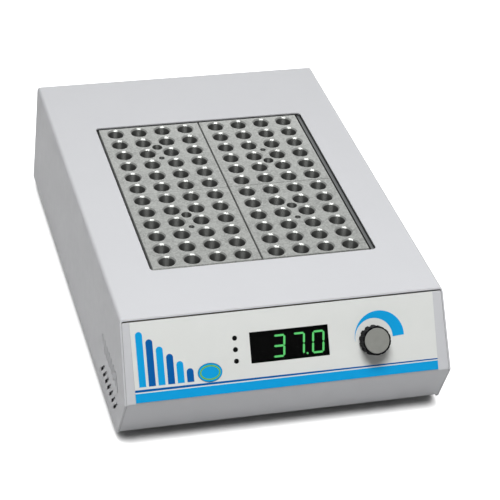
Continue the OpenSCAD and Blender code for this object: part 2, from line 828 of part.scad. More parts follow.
module block_body() {
    c = edge_chamfer;
    intersection() {
        translate([0, 0, -block_h]) linear_extrude(height = block_h)
            polygon([
                [-block_w / 2 + c, -block_l / 2], [block_w / 2 - c, -block_l / 2],
                [block_w / 2, -block_l / 2 + c], [block_w / 2, block_l / 2 - c],
                [block_w / 2 - c, block_l / 2], [-block_w / 2 + c, block_l / 2],
                [-block_w / 2, block_l / 2 - c], [-block_w / 2, -block_l / 2 + c]
            ]);
        along_x(block_w) polygon([
            [-block_l / 2 + c, -block_h], [block_l / 2 - c, -block_h], [block_l / 2, c - block_h],
            [block_l / 2, -c], [block_l / 2 - c, 0], [c - block_l / 2, 0],
            [-block_l / 2, -c], [-block_l / 2, c - block_h]
        ]);
        along_y(-block_l / 2, block_l / 2) polygon([
            [-block_w / 2 + c, -block_h], [block_w / 2 - c, -block_h], [block_w / 2, c - block_h],
            [block_w / 2, -c], [block_w / 2 - c, 0], [c - block_w / 2, 0],
            [-block_w / 2, -c], [-block_w / 2, c - block_h]
        ]);
    }
}

// One tube block: i and j pick its place, and turned blocks have their thermometer hole in front
module tube_block(i, j, turned = false) {
    color("lightgray") translate([blocks_x + i * step_x, blocks_y + j * step_y, top_z])
        rotate(turned ? 180 : 0) difference() {
            block_body();
            for (c = [0:well_cols - 1], r = [0:well_rows - 1])
                translate([
                    (c - (well_cols - 1) / 2) * well_pitch_x,
                    (r - (well_rows - 1) / 2) * well_pitch_y, 0
                ]) tube_well();
            translate([0, well_pitch_y * thermometer_row, -thermometer_depth])
                cylinder(h = thermometer_depth + 1, d = thermometer_d);
            translate([0, 0, -lift_depth]) cylinder(h = lift_depth + 1, d = lift_d);
        }
}
thermometer_row = 1;

module block_back_left() { tube_block(-1, 1); }
module block_back_right() { tube_block(1, 1, true); }
module block_front_left() { tube_block(-1, -1); }
module block_front_right() { tube_block(1, -1); }

// ---- Heated well ----
module spacer_bar() {
    left = cut_x + cut_w / 2 - spacer_gap - spacer_t;
    color("silver") translate([left, cut_y - cut_l / 2 + spacer_gap, block_z])
        cube([spacer_t, cut_l - 2 * spacer_gap, block_h - sheet - spacer_drop]);
}
spacer_gap = 0.4;
spacer_drop = 0.5;

module well_frame() {
    h = top_z - seat - board_z;
    color("silver") translate([cut_x, cut_y, board_z]) difference() {
        union() {
            linear_extrude(height = h) square([frame_out_w, frame_out_l], center = true);
            linear_extrude(height = frame_t)
                square([frame_out_w + 2 * flange_w, frame_out_l + 2 * flange_w], center = true);
        }
        translate([0, 0, -1]) linear_extrude(height = h + 2)
            square([frame_in_w, frame_in_l], center = true);
        for (p = frame_screw_places) translate([p[0], p[1], -1])
            cylinder(h = frame_t + 2, d = m3_hole);
        translate([sensor_x - cut_x, frame_in_l / 2 - 1, sensor_z - board_z]) rotate([-90, 0, 0])
            cylinder(h = frame_t + 2, d = ferrule_d + 0.6);
    }
}
ferrule_d = 6;
frame_screw_places = [
    for (x = [-1, 1], y = [-1, 1]) [x * (frame_out_w + flange_w) / 2, y * (frame_out_l / 2 - 30)],
    for (y = [-1, 1]) [0, y * (frame_out_l + flange_w) / 2]
];

module well_insulation() {
    z0 = board_z + frame_t + m3_head_h + 0.4;
    h = top_z - seat - 0.5 - z0;
    color("khaki") translate([cut_x, cut_y, z0]) difference() {
        union() {
            for (x = [-1, 1]) translate([x * (frame_out_w + wrap_t) / 2, 0, h / 2])
                cube([wrap_t - 0.1, frame_out_l, h], center = true);
            for (y = [-1, 1]) translate([0, y * (frame_out_l + wrap_t) / 2, h / 2])
                cube([frame_out_w + 2 * wrap_t, wrap_t - 0.1, h], center = true);
        }
        translate([sensor_x - cut_x, frame_out_l / 2 - 1, sensor_z - z0]) rotate([-90, 0, 0])
            cylinder(h = wrap_t + 2, d = ferrule_d + 0.6);
    }
}

module heater_plate() {
    color("lightgray") translate([cut_x, cut_y, plate_z]) difference() {
        linear_extrude(height = plate_t) square([plate_w, plate_l], center = true);
        for (x = [-1, 1], y = [-1, 1]) translate([x * clamp_x, y * clamp_y, -1])
            cylinder(h = plate_t - 1, d = m4_tap);
        translate([sensor_x - cut_x, plate_l / 2 - sensor_run, sensor_z - plate_z])
            rotate([-90, 0, 0]) cylinder(h = sensor_run + 1, d = sensor_d + 0.1);
    }
}
sensor_run = 40;

module heater_mat() {
    color("orangered") translate([cut_x, cut_y, mat_z]) difference() {
        linear_extrude(height = mat_t)
            square([plate_w - 2 * mat_inset, plate_l - 2 * mat_inset], center = true);
        for (x = [-1, 1], y = [-1, 1]) translate([x * clamp_x, y * clamp_y, -1])
            cylinder(h = mat_t + 2, d = m4_d + 1);
    }
}

module insulation_board() {
    color("khaki") translate([cut_x, cut_y, board_z]) difference() {
        linear_extrude(height = board_t) square([plate_w, plate_l], center = true);
        for (x = [-1, 1], y = [-1, 1]) translate([x * clamp_x, y * clamp_y, -1])
            cylinder(h = board_t + 2, d = m4_d + 1);
        translate([lead_x - cut_x, under_y - cut_y, -1]) cylinder(h = board_t + 2, d = lead_hole_d);
        translate([cutout_x - cut_x, under_y - cut_y, -1])
            cylinder(h = board_t + 2, d = cutout_d + 0.6);
    }
}

module support_plate() {
    color("silver") translate([cut_x, cut_y, support_z]) difference() {
        linear_extrude(height = support_t)
            square([frame_out_w + 2 * flange_w, frame_out_l + 2 * flange_w], center = true);
        for (x = [-1, 1], y = [-1, 1]) translate([x * clamp_x, y * clamp_y, -1])
            cylinder(h = support_t + 2, d = m4_hole);
        for (p = frame_screw_places) translate([p[0], p[1], -1])
            cylinder(h = support_t + 2, d = m3_tap);
        for (p = standoff_places) translate([p[0] - cut_x, p[1] - cut_y, -1])
            cylinder(h = support_t + 2, d = m3_hole);
        for (x = [lead_x, cutout_x]) translate([x - cut_x, under_y - cut_y, -1])
            cylinder(h = support_t + 2, d = lead_hole_d);
    }
}

module clamp_screws() {
    color("silver") for (x = [-1, 1], y = [-1, 1])
        translate([cut_x + x * clamp_x, cut_y + y * clamp_y, support_z]) rotate([180, 0, 0])
            screw(m4_d, m4_head_d, m4_head_h, plate_z - support_z + plate_t - 3);
}

module frame_screws() {
    color("silver") for (p = frame_screw_places)
        translate([cut_x + p[0], cut_y + p[1], board_z + frame_t])
            screw(m3_d, m3_head_d, m3_head_h, frame_t + support_t + 1);
}

standoff_places = [
    for (x = [-1, 1], y = [-1, 1]) [cut_x + x * standoff_side, cut_y + y * (clamp_y + 2)]
];

// Pillars between the base and the plate that carries the well, screwed from both ends
module plate_standoffs() {
    color("silver") for (p = standoff_places) translate([p[0], p[1], base_z - m3_head_h]) {
        cylinder(h = m3_head_h, d = m3_head_d);
        cylinder(h = support_z - base_z + m3_head_h + support_t, d = m3_d);
        translate([0, 0, base_top - base_z + m3_head_h])
            cylinder(h = support_z - base_top, d = 7);
    }
}

module temperature_sensor() {
    color("silver") translate([sensor_x, cut_y + plate_l / 2, sensor_z]) rotate([-90, 0, 0]) {
        translate([0, 0, 1 - sensor_run]) cylinder(h = sensor_run, d = sensor_d);
        translate([0, 0, plate_gap / 2]) cylinder(h = wrap_t + frame_t + plate_gap + 3, d = ferrule_d);
    }
}

module thermal_cutout() {
    color("black") translate([cutout_x, under_y, board_z]) {
        cylinder(h = board_t, d = cutout_d);
        for (x = [-2, 2]) translate([x, 0, -support_t - 5]) cylinder(h = support_t + 5.1, d = 1.5);
    }
}

// ---- Power electronics ----
post_places = [
    for (x = [power_x0 + post_inset, power_x1 - post_inset], y = [-1, 1])
        [x, power_y + y * (power_l / 2 - post_inset)]
];

module power_board() {
    color("darkgreen") difference() {
        translate([power_x0, power_y - power_l / 2, power_z]) cube([power_x1 - power_x0, power_l, pcb_t]);
        for (p = post_places) translate([p[0], p[1], power_z - 1])
            cylinder(h = pcb_t + 2, d = m3_hole);
    }
}

module power_standoffs() {
    color("silver") for (p = post_places) translate([p[0], p[1], base_z - m3_head_h]) {
        cylinder(h = m3_head_h, d = m3_head_d);
        cylinder(h = power_top - base_z + m3_head_h + 0.1, d = m3_d);
        translate([0, 0, sheet + m3_head_h]) cylinder(h = power_post, d = standoff_d);
        translate([0, 0, power_top - base_z + m3_head_h]) cylinder(h = m3_head_h, d = m3_head_d);
    }
}

module transformer() {
    color("goldenrod") translate([transformer_x, power_y, power_top]) {
        translate([-core_w / 2, -core_l / 2, 0]) cube([core_w, core_l, core_h]);
        translate([-coil_w / 2, -coil_l / 2, core_h / 4]) cube([coil_w, coil_l, core_h / 2 + 2]);
        translate([-core_w / 2, -13, 0]) cube([core_w, 26, 2]);
    }
}

module heat_sink() {
    color("silver") translate([sink_x, sink_y, power_top]) {
        cube([sink_w, sink_t, sink_h]);
        for (i = [0:sink_fins - 1])
            translate([i * (sink_w - fin_t) / (sink_fins - 1), -fin_l, 0])
                cube([fin_t, fin_l + 0.5, sink_h]);
    }
}

module triac() {
    color("black") translate([sink_x + sink_w / 2, sink_y + sink_t, power_top]) {
        translate([-5, 0, 6]) cube([10, 4.4, 15]);
        for (i = [-1:1]) translate([i * pin_pitch - 0.4, 2, 0]) cube([0.8, 0.6, 7]);
    }
}

module filter_capacitor() {
    color("gold") translate([transformer_x + core_w / 2 + 2 * part_gap, power_y + 6, power_top])
        cube([7, 12, 11]);
}

module terminal_block() {
    color("seagreen") translate([terminal_x, terminal_y, power_top]) difference() {
        cube([terminal_w, terminal_l, terminal_h]);
        for (i = [0:4], y = [-1, terminal_l - 3.5])
            translate([terminal_in + (i * terminal_pitch) - entry_w / 2, y, 3])
                cube([entry_w, 4.5, 4]);
        for (i = [0:4]) translate([terminal_in + i * terminal_pitch, terminal_l / 2, 8.5])
            cylinder(h = 3, d = entry_w);
    }
}

// The point in a terminal's opening, on the front (-1) or rear (1) side
function terminal_pt(i, side) = [
    terminal_x + terminal_in + i * terminal_pitch,
    terminal_y + terminal_l / 2 + side * (terminal_l / 2 - 3.4),
    power_top + 5
];

inlet_body_w = 27;
inlet_body_h = 31;
inlet_depth = 20;
inlet_screw_pitch = 40;
inlet_w = 49;
inlet_h = 35;
recess_w = 24;
recess_h = 16.4;
recess_y = 5.8;
recess_depth = 16;
drawer_w = 24;
drawer_h = 8.6;
drawer_y = -9.4;
drawer_depth = 18;

module recess_outline() {
    w = recess_w / 2;
    h = recess_h / 2;
    polygon([[-w, -h], [w, -h], [w, h - 5], [w - 5, h], [5 - w, h], [-w, h - 5]]);
}

module inlet_housing() {
    color([0.1, 0.1, 0.1]) on_rear(inlet_x, inlet_s, -seat) difference() {
        union() {
            linear_extrude(height = inlet_flange_t) rounded_rect(inlet_w, inlet_h, 4);
            translate([0, 0, -inlet_depth]) linear_extrude(height = inlet_depth)
                square([inlet_body_w, inlet_body_h], center = true);
        }
        translate([0, recess_y, inlet_flange_t - recess_depth]) linear_extrude(height = recess_depth + 1)
            recess_outline();
        translate([0, drawer_y, inlet_flange_t - drawer_depth - drawer_gap])
            linear_extrude(height = drawer_depth + 2)
                square([drawer_w + 2 * drawer_gap, drawer_h + 2 * drawer_gap], center = true);
        for (x = [-1, 1]) translate([x * inlet_screw_pitch / 2, 0, -1])
            cylinder(h = inlet_flange_t + 2, d = m3_hole);
        for (p = pin_places) translate([p[0], recess_y + p[1], -inlet_depth - 1])
            linear_extrude(height = inlet_depth)
                square([pin_w + 2 * tap_fit, pin_l + 2 * tap_fit], center = true);
    }
}
pin_places = [[-7, -2], [7, -2], [0, 2]];
pin_tail = 7;
pin_w = 2;
pin_l = 4;

module inlet_pins() {
    color("silver") for (p = pin_places) on_rear(inlet_x, inlet_s, -seat - inlet_depth - pin_tail)
        translate([p[0], recess_y + p[1], 0]) linear_extrude(height = inlet_depth + pin_tail)
            square([pin_w, pin_l], center = true);
}

module inlet_screws() {
    color("silver") for (x = [-1, 1])
        on_rear(inlet_x + x * inlet_screw_pitch / 2, inlet_s, inlet_flange_t - seat)
            screw(m3_d, m3_head_d, m3_head_h, 8);
}

module fuse_drawer() {
    color([0.14, 0.14, 0.14]) on_rear(inlet_x, inlet_s, inlet_flange_t - seat) translate([0, drawer_y, 0])
        difference() {
            union() {
                translate([0, 0, -drawer_depth]) linear_extrude(height = drawer_depth)
                    square([drawer_w, drawer_h], center = true);
                linear_extrude(height = 0.8) square([drawer_w, drawer_h], center = true);
                translate([0, 0, 0.8]) linear_extrude(height = 1) square([10, 1.6], center = true);
            }
            for (z = fuse_places) translate([-10.3, -2.8, z - 2.8]) cube([20.6, 20, 5.6]);
        }
}
fuse_places = [-5.4, -12.6];

module fuses() {
    color("silver") on_rear(inlet_x, inlet_s, inlet_flange_t - seat) translate([0, drawer_y, 0])
        for (z = fuse_places) translate([-10, -0.2, z]) rotate([0, 90, 0]) cylinder(h = 20, d = 5);
}

switch_body_w = 13;
switch_body_h = 19.4;
switch_depth = 14;
rocker_w = 10.4;
rocker_l = 16.2;
rocker_gap = 0.4;
pivot_h = 1;

module switch_housing() {
    color([0.1, 0.1, 0.1]) on_rear(switch_x, inlet_s, -seat) difference() {
        union() {
            linear_extrude(height = 2) rounded_rect(15, 21, 1);
            translate([0, 0, -switch_depth]) linear_extrude(height = switch_depth)
                square([switch_body_w, switch_body_h], center = true);
            for (y = [-7, 0, 7]) translate([0, y, -switch_depth - pin_tail])
                linear_extrude(height = pin_tail + 1)
                square([4.8, 0.8], center = true);
        }
        translate([0, 0, -8]) linear_extrude(height = 12)
            square([rocker_w + 2 * rocker_gap, rocker_l + 2 * rocker_gap + 0.6], center = true);
        translate([0, 0, pivot_h - 0.9]) rotate([0, 90, 0])
            cylinder(h = rocker_w + 3, d = 2 + 2 * running_gap, center = true);
    }
}

module power_rocker() {
    h = rocker_l / 2;
    color([0.12, 0.12, 0.12]) on_rear(switch_x, inlet_s, pivot_h - 0.9 - seat)
        rotate([-rocker_swing / 2, 0, 0]) {
            along_x(rocker_w) polygon([
                [-h, 1.2], [-h, 2.6 + h * tan(rocker_swing / 2)], [0, 2.4],
                [h, 2.6 + h * tan(rocker_swing / 2)], [h, 1.2], [4.5, -4.2], [-4.5, -4.2]
            ]);
            rotate([0, 90, 0]) cylinder(h = rocker_w + 2.4, d = 2, center = true);
        }
}

// ---- Feet and fasteners ----
module rubber_feet() {
    color([0.12, 0.12, 0.12]) for (x = [-1, 1], y = [foot_y_front, foot_y_rear])
        translate([x * foot_x, y, 0]) difference() {
            cylinder(h = base_z, d1 = foot_d - 2, d2 = foot_d);
            translate([0, 0, -1]) cylinder(h = foot_well + 1, d = m4_head_d + 0.8);
            translate([0, 0, -1]) cylinder(h = base_z + 2, d = m4_hole);
        }
}
foot_well = m4_head_h + 1;

module foot_screws() {
    color("silver") for (x = [-1, 1], y = [foot_y_front, foot_y_rear])
        translate([x * foot_x, y, foot_well]) {
            rotate([180, 0, 0]) screw(m4_d, m4_head_d, m4_head_h, base_top + 4 - foot_well);
            translate([0, 0, base_top - foot_well]) cylinder(h = 3, d = 7.6, $fn = 6);
        }
}

module chassis_screws() {
    color("silver") for (x = chassis_screw_x, y = chassis_screw_y)
        translate([x, y, base_z]) rotate([180, 0, 0]) screw(m3_d, m3_head_d, m3_head_h, 5);
}

module cover_screws() {
    color("silver") for (x = lip_screw_x) on_rear(x, lip_h / 2, 0)
        screw(m3_d, m3_head_d, m3_head_h, 6);
}

// ---- Wiring ----
ribbon_w = 20;
ribbon_t = 1;

module ribbon_cable() {
    x = pcb_x0 + 8;
    s = pcb_s1 - 4;
    start = [front_y - s * sin(tilt) + (board_drop + pcb_t) * cos(tilt),
             top_z - s * cos(tilt) - (board_drop + pcb_t) * sin(tilt)];
    low = base_top + 2;
    stop = power_y - power_l / 2 + 5;
    path = rounded([
        start, start + 8 * [cos(tilt), -sin(tilt)], [start[0] + 22, low],
        [stop, low], [stop, power_z]
    ], 1.6);
    color("lightgray") translate([x + ribbon_w / 2, 0, 0]) along_x(ribbon_w) folded(path, ribbon_t);
}

// A point h outside the rear wall's plane and s down it
function rear_pt(x, s, h) = [
    x, rear_y + s * sin(lean) + h * cos(lean), top_z - s * cos(lean) + h * sin(lean)
];

module mains_leads() {
    d = 2.4;
    pin_end = -seat - inlet_depth - pin_tail;
    tab_end = -seat - switch_depth - pin_tail;
    pin_s = inlet_s - recess_y - pin_places[0][1];
    live_in = terminal_pt(3, 1);
    neutral_in = terminal_pt(4, 1);
    color("saddlebrown") {
        wire([
            rear_pt(inlet_x + pin_places[0][0], pin_s, pin_end),
            rear_pt(inlet_x + pin_places[0][0], pin_s, pin_end - 4),
            rear_pt(switch_x, inlet_s - 7, tab_end - 5), rear_pt(switch_x, inlet_s - 7, tab_end)
        ], d);
        wire([
            rear_pt(switch_x, inlet_s, tab_end), rear_pt(switch_x, inlet_s, tab_end - 5),
            live_in + [0, 7, 8], live_in + [0, 7, 0], live_in
        ], d);
        wire([
            rear_pt(inlet_x - pin_places[0][0], pin_s, pin_end),
            rear_pt(inlet_x - pin_places[0][0], pin_s, pin_end - 4),
            [inlet_x - 20, rear_y - 28, power_top + 3], neutral_in + [6, 9, 0],
            neutral_in + [0, 7, 0], neutral_in
        ], d);
    }
}

module heater_leads() {
    z = support_z - 4;
    color("crimson") for (i = [0, 1]) wire([
        [lead_x + 4 * i - 2, under_y, mat_z], [lead_x + 4 * i - 2, under_y, z],
        [lead_x + 4 * i - 2, well_rear + 1, z + 1], [lead_x + 4 * i + 1, power_y - 9, power_top + 6],
        terminal_pt(i, -1) + [0, -6, 0], terminal_pt(i, -1)
    ], 2);
}

module sensor_lead() {
    y = cut_y + plate_l / 2 + 1.5 * plate_gap + wrap_t + frame_t + 3;
    x = power_x1 - 5;
    color("white") wire([
        [sensor_x, y, sensor_z], [sensor_x, y + 4, sensor_z],
        [x, power_y - 8, power_top + 8], [x, power_y - 8, power_top]
    ], 2);
}

top_cover();
base_pan();
rear_panel();
front_panel();
panel_film();
display_window();
display_module();
display_digits();
indicator_lamps();
control_board();
panel_standoffs();
board_screws();
mode_button();
mode_plunger();
mode_switch();
control_knob();
knob_cap();
encoder_shaft();
encoder_body();
encoder_nut();
block_back_left();
block_back_right();
block_front_left();
block_front_right();
spacer_bar();
well_frame();
well_insulation();
heater_plate();
heater_mat();
insulation_board();
support_plate();
clamp_screws();
frame_screws();
plate_standoffs();
temperature_sensor();
thermal_cutout();
power_board();
power_standoffs();
transformer();
heat_sink();
triac();
filter_capacitor();
terminal_block();
inlet_housing();
inlet_pins();
inlet_screws();
fuse_drawer();
fuses();
switch_housing();
power_rocker();
rubber_feet();
foot_screws();
chassis_screws();
cover_screws();
ribbon_cable();
mains_leads();
heater_leads();
sensor_lead();
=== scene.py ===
"""Looks of a dry block heater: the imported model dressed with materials, print and soft light.

Metres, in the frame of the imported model: +Z up, +X to the operator's right, the panel faces -Y.
"""

import json
import math

import bmesh
import bpy
from mathutils import Matrix, Vector


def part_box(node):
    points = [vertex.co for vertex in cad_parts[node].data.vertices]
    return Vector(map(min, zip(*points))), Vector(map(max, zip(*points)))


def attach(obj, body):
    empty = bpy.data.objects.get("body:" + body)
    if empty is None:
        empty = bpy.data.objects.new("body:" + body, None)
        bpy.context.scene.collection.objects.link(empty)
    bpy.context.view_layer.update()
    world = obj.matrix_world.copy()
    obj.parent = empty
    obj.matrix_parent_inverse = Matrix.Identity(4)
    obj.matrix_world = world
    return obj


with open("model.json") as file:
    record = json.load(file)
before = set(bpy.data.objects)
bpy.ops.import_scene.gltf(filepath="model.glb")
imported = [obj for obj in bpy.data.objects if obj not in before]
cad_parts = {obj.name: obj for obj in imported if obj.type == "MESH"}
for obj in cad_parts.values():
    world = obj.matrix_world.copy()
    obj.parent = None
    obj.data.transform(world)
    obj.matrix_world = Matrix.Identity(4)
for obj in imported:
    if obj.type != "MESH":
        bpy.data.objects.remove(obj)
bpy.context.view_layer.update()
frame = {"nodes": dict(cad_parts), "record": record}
nodes = frame["nodes"]
MM = 0.001

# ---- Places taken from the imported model, and sizes as in the part's source ----
TOP_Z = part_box("top_cover")[1].z
TO_BLOCKS = 54.2 * MM  # from the top's front edge to the front blocks
FRONT_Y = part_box("block_front_left")[0].y - TO_BLOCKS
PANEL_REACH = 29.1 * MM  # how far the sloping panel runs forward
PANEL_H = 47.8 * MM  # and how far it runs down
FILM_T = 0.4 * MM
TILT = math.atan2(PANEL_REACH, PANEL_H)


def on_panel(x, s, h=0.0):
    """The point x sideways, s down the sloping panel and h in front of it, all in mm."""
    x, s, h = x * MM, s * MM, h * MM
    y = FRONT_Y - s * math.sin(TILT) - h * math.cos(TILT)
    z = TOP_Z - s * math.cos(TILT) + h * math.sin(TILT)
    return Vector((x, y, z))


# ---- Camera, at the photograph's viewing angle; its places count from the blocks' middle ----
BLOCKS_MIDDLE = (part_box("block_front_left")[0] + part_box("block_back_right")[1]) / 2
BLOCKS_MIDDLE.z = 0
CAMERA_AT = BLOCKS_MIDDLE + Vector((-0.33095, -1.16202, 0.8195))
LOOK_AT = BLOCKS_MIDDLE + Vector((0.00805, -0.03742, 0.0579))
CAMERA_ROLL = math.radians(3.83)
LENS = 141.1  # mm
SENSOR = 36  # mm, its width


def make_camera():
    data = bpy.data.cameras.new("camera")
    data.lens = LENS
    data.sensor_width = SENSOR
    data.clip_start = 0.05
    camera = bpy.data.objects.new("camera", data)
    bpy.context.scene.collection.objects.link(camera)
    aim = (LOOK_AT - CAMERA_AT).to_track_quat("-Z", "Y").to_matrix()
    turned = aim @ Matrix.Rotation(CAMERA_ROLL, 3, "Z")
    camera.matrix_world = Matrix.Translation(CAMERA_AT) @ turned.to_4x4()
    bpy.context.scene.camera = camera


# ---- Light ----
# Each lamp's name, its place, target and size in metres, and its power in watts
LAMPS = (
    ("overhead", (-0.13, -0.42, 1.5), (0, 0, 0.05), (0.8, 0.5), 19.5),
    ("above", (0.05, -0.3, 0.9), (0, -0.05, 0.05), (0.5, 0.5), 1.6),
    ("front", (0.55, -1.05, 0.6), (0, -0.1, 0.05), (0.8, 0.4), 0.5),
    ("rear", (0.3, 1.35, 0.28), (0, 0.1, 0.06), (1.4, 0.4), 4.8),
)
WORLD_LIGHT = 0.03  # brightness of the surroundings where they light the object
WORLD_SEEN = 1  # and where the camera or a mirror sees them


def soft_box(name, at, target, size, power):
    data = bpy.data.lights.new(name, "AREA")
    data.shape = "RECTANGLE"
    data.size, data.size_y = size
    data.energy = power
    lamp = bpy.data.objects.new(name, data)
    bpy.context.scene.collection.objects.link(lamp)
    lamp.location = at
    lamp.rotation_euler = (Vector(target) - Vector(at)).to_track_quat("-Z", "Y").to_euler()


def seen_or_mirrored(tree):
    """1 for camera, glossy and transmission rays, and 0 for those that light the object."""
    path = tree.nodes.new("ShaderNodeLightPath")
    kinds = path.outputs["Is Camera Ray"]
    for name in ("Is Glossy Ray", "Is Transmission Ray"):
        either = tree.nodes.new("ShaderNodeMath")
        either.operation = "MAXIMUM"
        tree.links.new(kinds, either.inputs[0])
        tree.links.new(path.outputs[name], either.inputs[1])
        kinds = either.outputs[0]
    return kinds


def make_light():
    for lamp in LAMPS:
        soft_box(*lamp)
    world = bpy.data.worlds.new("studio")
    bpy.context.scene.world = world
    world.use_nodes = True
    tree = world.node_tree
    tree.nodes.clear()
    mix = tree.nodes.new("ShaderNodeMixShader")
    tree.links.new(seen_or_mirrored(tree), mix.inputs[0])
    for socket, strength in ((mix.inputs[1], WORLD_LIGHT), (mix.inputs[2], WORLD_SEEN)):
        background = tree.nodes.new("ShaderNodeBackground")
        background.inputs["Color"].default_value = (1, 1, 1, 1)
        background.inputs["Strength"].default_value = strength
        tree.links.new(background.outputs[0], socket)
    tree.links.new(mix.outputs[0], tree.nodes.new("ShaderNodeOutputWorld").inputs[0])


# ---- Materials ----
class Surface:
    """A principled material whose colour, roughness and bump come from procedural nodes."""

    def __init__(self, name, rough=0.5, metallic=0.0, **sockets):
        self.material = bpy.data.materials.new(name)
        self.material.use_nodes = True
        self.tree = self.material.node_tree
        self.shader = self.tree.nodes["Principled BSDF"]
        self.shader.inputs["Metallic"].default_value = metallic
        self.shader.inputs["Roughness"].default_value = rough
        for socket, value in sockets.items():
            self.shader.inputs[socket.replace("_", " ")].default_value = value
        self.place = self.add("ShaderNodeTexCoord").outputs["Object"]
        self.normal = None

    def add(self, kind, **values):
        node = self.tree.nodes.new(kind)
        for key, value in values.items():
            setattr(node, key, value)
        return node

    def link(self, a, b):
        self.tree.links.new(a, b)

    def maths(self, operation, *values):
        """A Math node, or a VectorMath node where its second value is a tuple or missing."""
        plain = len(values) == 2 and not isinstance(values[1], tuple)
        node = self.add("ShaderNodeMath" if plain else "ShaderNodeVectorMath", operation=operation)
        for socket, value in zip(node.inputs, values):
            if isinstance(value, tuple):
                socket.default_value = value
            else:
                self.link(value, socket)
        return node.outputs[0]

    def axes(self, vector):
        """A vector's X, Y and Z sockets."""
        node = self.add("ShaderNodeSeparateXYZ")
        self.link(vector, node.inputs[0])
        return node.outputs

    def openness(self, distance_mm, samples):
        """1 where nothing stands within that distance, and less in corners and nooks."""
        node = self.add("ShaderNodeAmbientOcclusion", samples=samples)
        node.inputs["Distance"].default_value = distance_mm * MM
        return node.outputs["AO"]

    def stretched(self, stretch):
        node = self.add("ShaderNodeMapping")
        node.inputs["Scale"].default_value = stretch
        self.link(self.place, node.inputs["Vector"])
        return node.outputs[0]

    def noise(self, size_mm, stretch=(1, 1, 1), detail=4):
        """Noise whose features are about size_mm across."""
        node = self.add("ShaderNodeTexNoise")
        node.inputs["Scale"].default_value = 1 / (size_mm * MM)
        node.inputs["Detail"].default_value = detail
        self.link(self.stretched(stretch), node.inputs["Vector"])
        return node.outputs["Fac"]

    def ramp(self, factor, low, high, a, b):
        """Takes factor from low to high onto a to b."""
        node = self.add("ShaderNodeMapRange")
        for socket, value in zip(("From Min", "From Max", "To Min", "To Max"), (low, high, a, b)):
            node.inputs[socket].default_value = value
        self.link(factor, node.inputs["Value"])
        return node.outputs[0]

    def edges(self, radius_mm):
        """1 on edges that a bevel of that radius would round, 0 on flats."""
        bevel = self.add("ShaderNodeBevel", samples=4)
        bevel.inputs["Radius"].default_value = radius_mm * MM
        flat = self.add("ShaderNodeNewGeometry")
        dot = self.add("ShaderNodeVectorMath", operation="DOT_PRODUCT")
        self.link(bevel.outputs[0], dot.inputs[0])
        self.link(flat.outputs["Normal"], dot.inputs[1])
        return self.ramp(dot.outputs["Value"], 0.98, 0.75, 0, 1)

    def mix(self, factor, a, b):
        """Colour a where factor is 0 and b where it is 1; either may be a colour or a socket."""
        node = self.add("ShaderNodeMix", data_type="RGBA")
        self.link(factor, node.inputs[0])
        for socket, value in ((node.inputs[6], a), (node.inputs[7], b)):
            if isinstance(value, tuple):
                socket.default_value = (*value, 1)
            else:
                self.link(value, socket)
        return node.outputs[2]

    def colour(self, value):
        self.link(value, self.shader.inputs["Base Color"])

    def roughness(self, factor, a, b):
        self.link(self.ramp(factor, 0.3, 0.7, a, b), self.shader.inputs["Roughness"])

    def bump(self, factor, depth_mm, strength=1.0):
        node = self.add("ShaderNodeBump")
        node.inputs["Distance"].default_value = depth_mm * MM
        node.inputs["Strength"].default_value = strength
        self.link(factor, node.inputs["Height"])
        if self.normal is not None:
            self.link(self.normal, node.inputs["Normal"])
        self.normal = node.outputs[0]
        self.link(self.normal, self.shader.inputs["Normal"])
        return self

    def rounded(self, radius_mm):
        """Softens the shading of edges, under any bump made later."""
        node = self.add("ShaderNodeBevel", samples=4)
        node.inputs["Radius"].default_value = radius_mm * MM
        self.normal = node.outputs[0]
        self.link(self.normal, self.shader.inputs["Normal"])
        return self


def srgb(r, g, b):
    """Linear colour from 0 to 255 display values."""
    def one(v):
        v /= 255
        return v / 12.92 if v <= 0.04045 else ((v + 0.055) / 1.055) ** 2.4
    return (one(r), one(g), one(b))


def shade(colour, k):
    return tuple(min(1.0, c * k) for c in colour)


def powder_coat(name, colour):
    m = Surface(name, rough=0.42, Specular_IOR_Level=0.18).rounded(0.5)
    mottle = m.noise(35, detail=3)
    # Edges a little lighter: partly wear, partly a painted highlight
    wear_and_highlight = m.mix(m.edges(0.4), colour, shade(colour, 1.05))
    paint = m.mix(m.ramp(mottle, 0.3, 0.7, 0, 0.5), wear_and_highlight, shade(colour, 1.03))
    # Painted shade: the paint is made nearly black in the vents and other nooks, where little light
    # gets in
    m.colour(m.mix(m.ramp(m.openness(5, samples=8), 0.35, 0.65, 0, 1), shade(colour, 0.05), paint))
    m.roughness(m.noise(6), 0.38, 0.5)
    return m.bump(m.noise(0.9, detail=3), 0.05, 0.35).material


def plain_plastic(name, colour, rough=0.45, grain_mm=0.25, depth_mm=0.02, shine=0.5, edge_highlight=1.0):
    m = Surface(name, rough=rough, Specular_IOR_Level=shine).rounded(0.25)
    base = m.mix(m.noise(4), shade(colour, 0.9), shade(colour, 1.12))
    # Painted highlight: the edges are lightened by the given factor
    m.colour(m.mix(m.edges(0.4), base, shade(colour, edge_highlight)))
    m.roughness(m.noise(2), rough - 0.06, rough + 0.08)
    return m.bump(m.noise(grain_mm, detail=2), depth_mm, 0.5).material


def printed(name, colour):
    m = Surface(name, Specular_IOR_Level=0.12)
    m.colour(m.mix(m.noise(18), shade(colour, 0.97), shade(colour, 1.03)))
    m.roughness(m.noise(5), 0.46, 0.55)
    return m.bump(m.noise(0.35, detail=2), 0.012, 0.4).material


def machined(name, colour, rough, stretch, grain_mm=0.35):
    """Milled or brushed metal, with fine tool marks along one direction."""
    m = Surface(name, rough=rough, metallic=1).rounded(0.2)
    marks = m.noise(grain_mm, stretch, detail=5)
    broad = m.noise(14, detail=3)
    base = m.mix(m.ramp(marks, 0.3, 0.7, 0, 1), shade(colour, 0.9), shade(colour, 1.06))
    m.colour(m.mix(m.edges(0.25), base, shade(colour, 1.15)))
    m.roughness(broad, rough - 0.06, rough + 0.08)
    return m.bump(marks, 0.01, 0.5).material


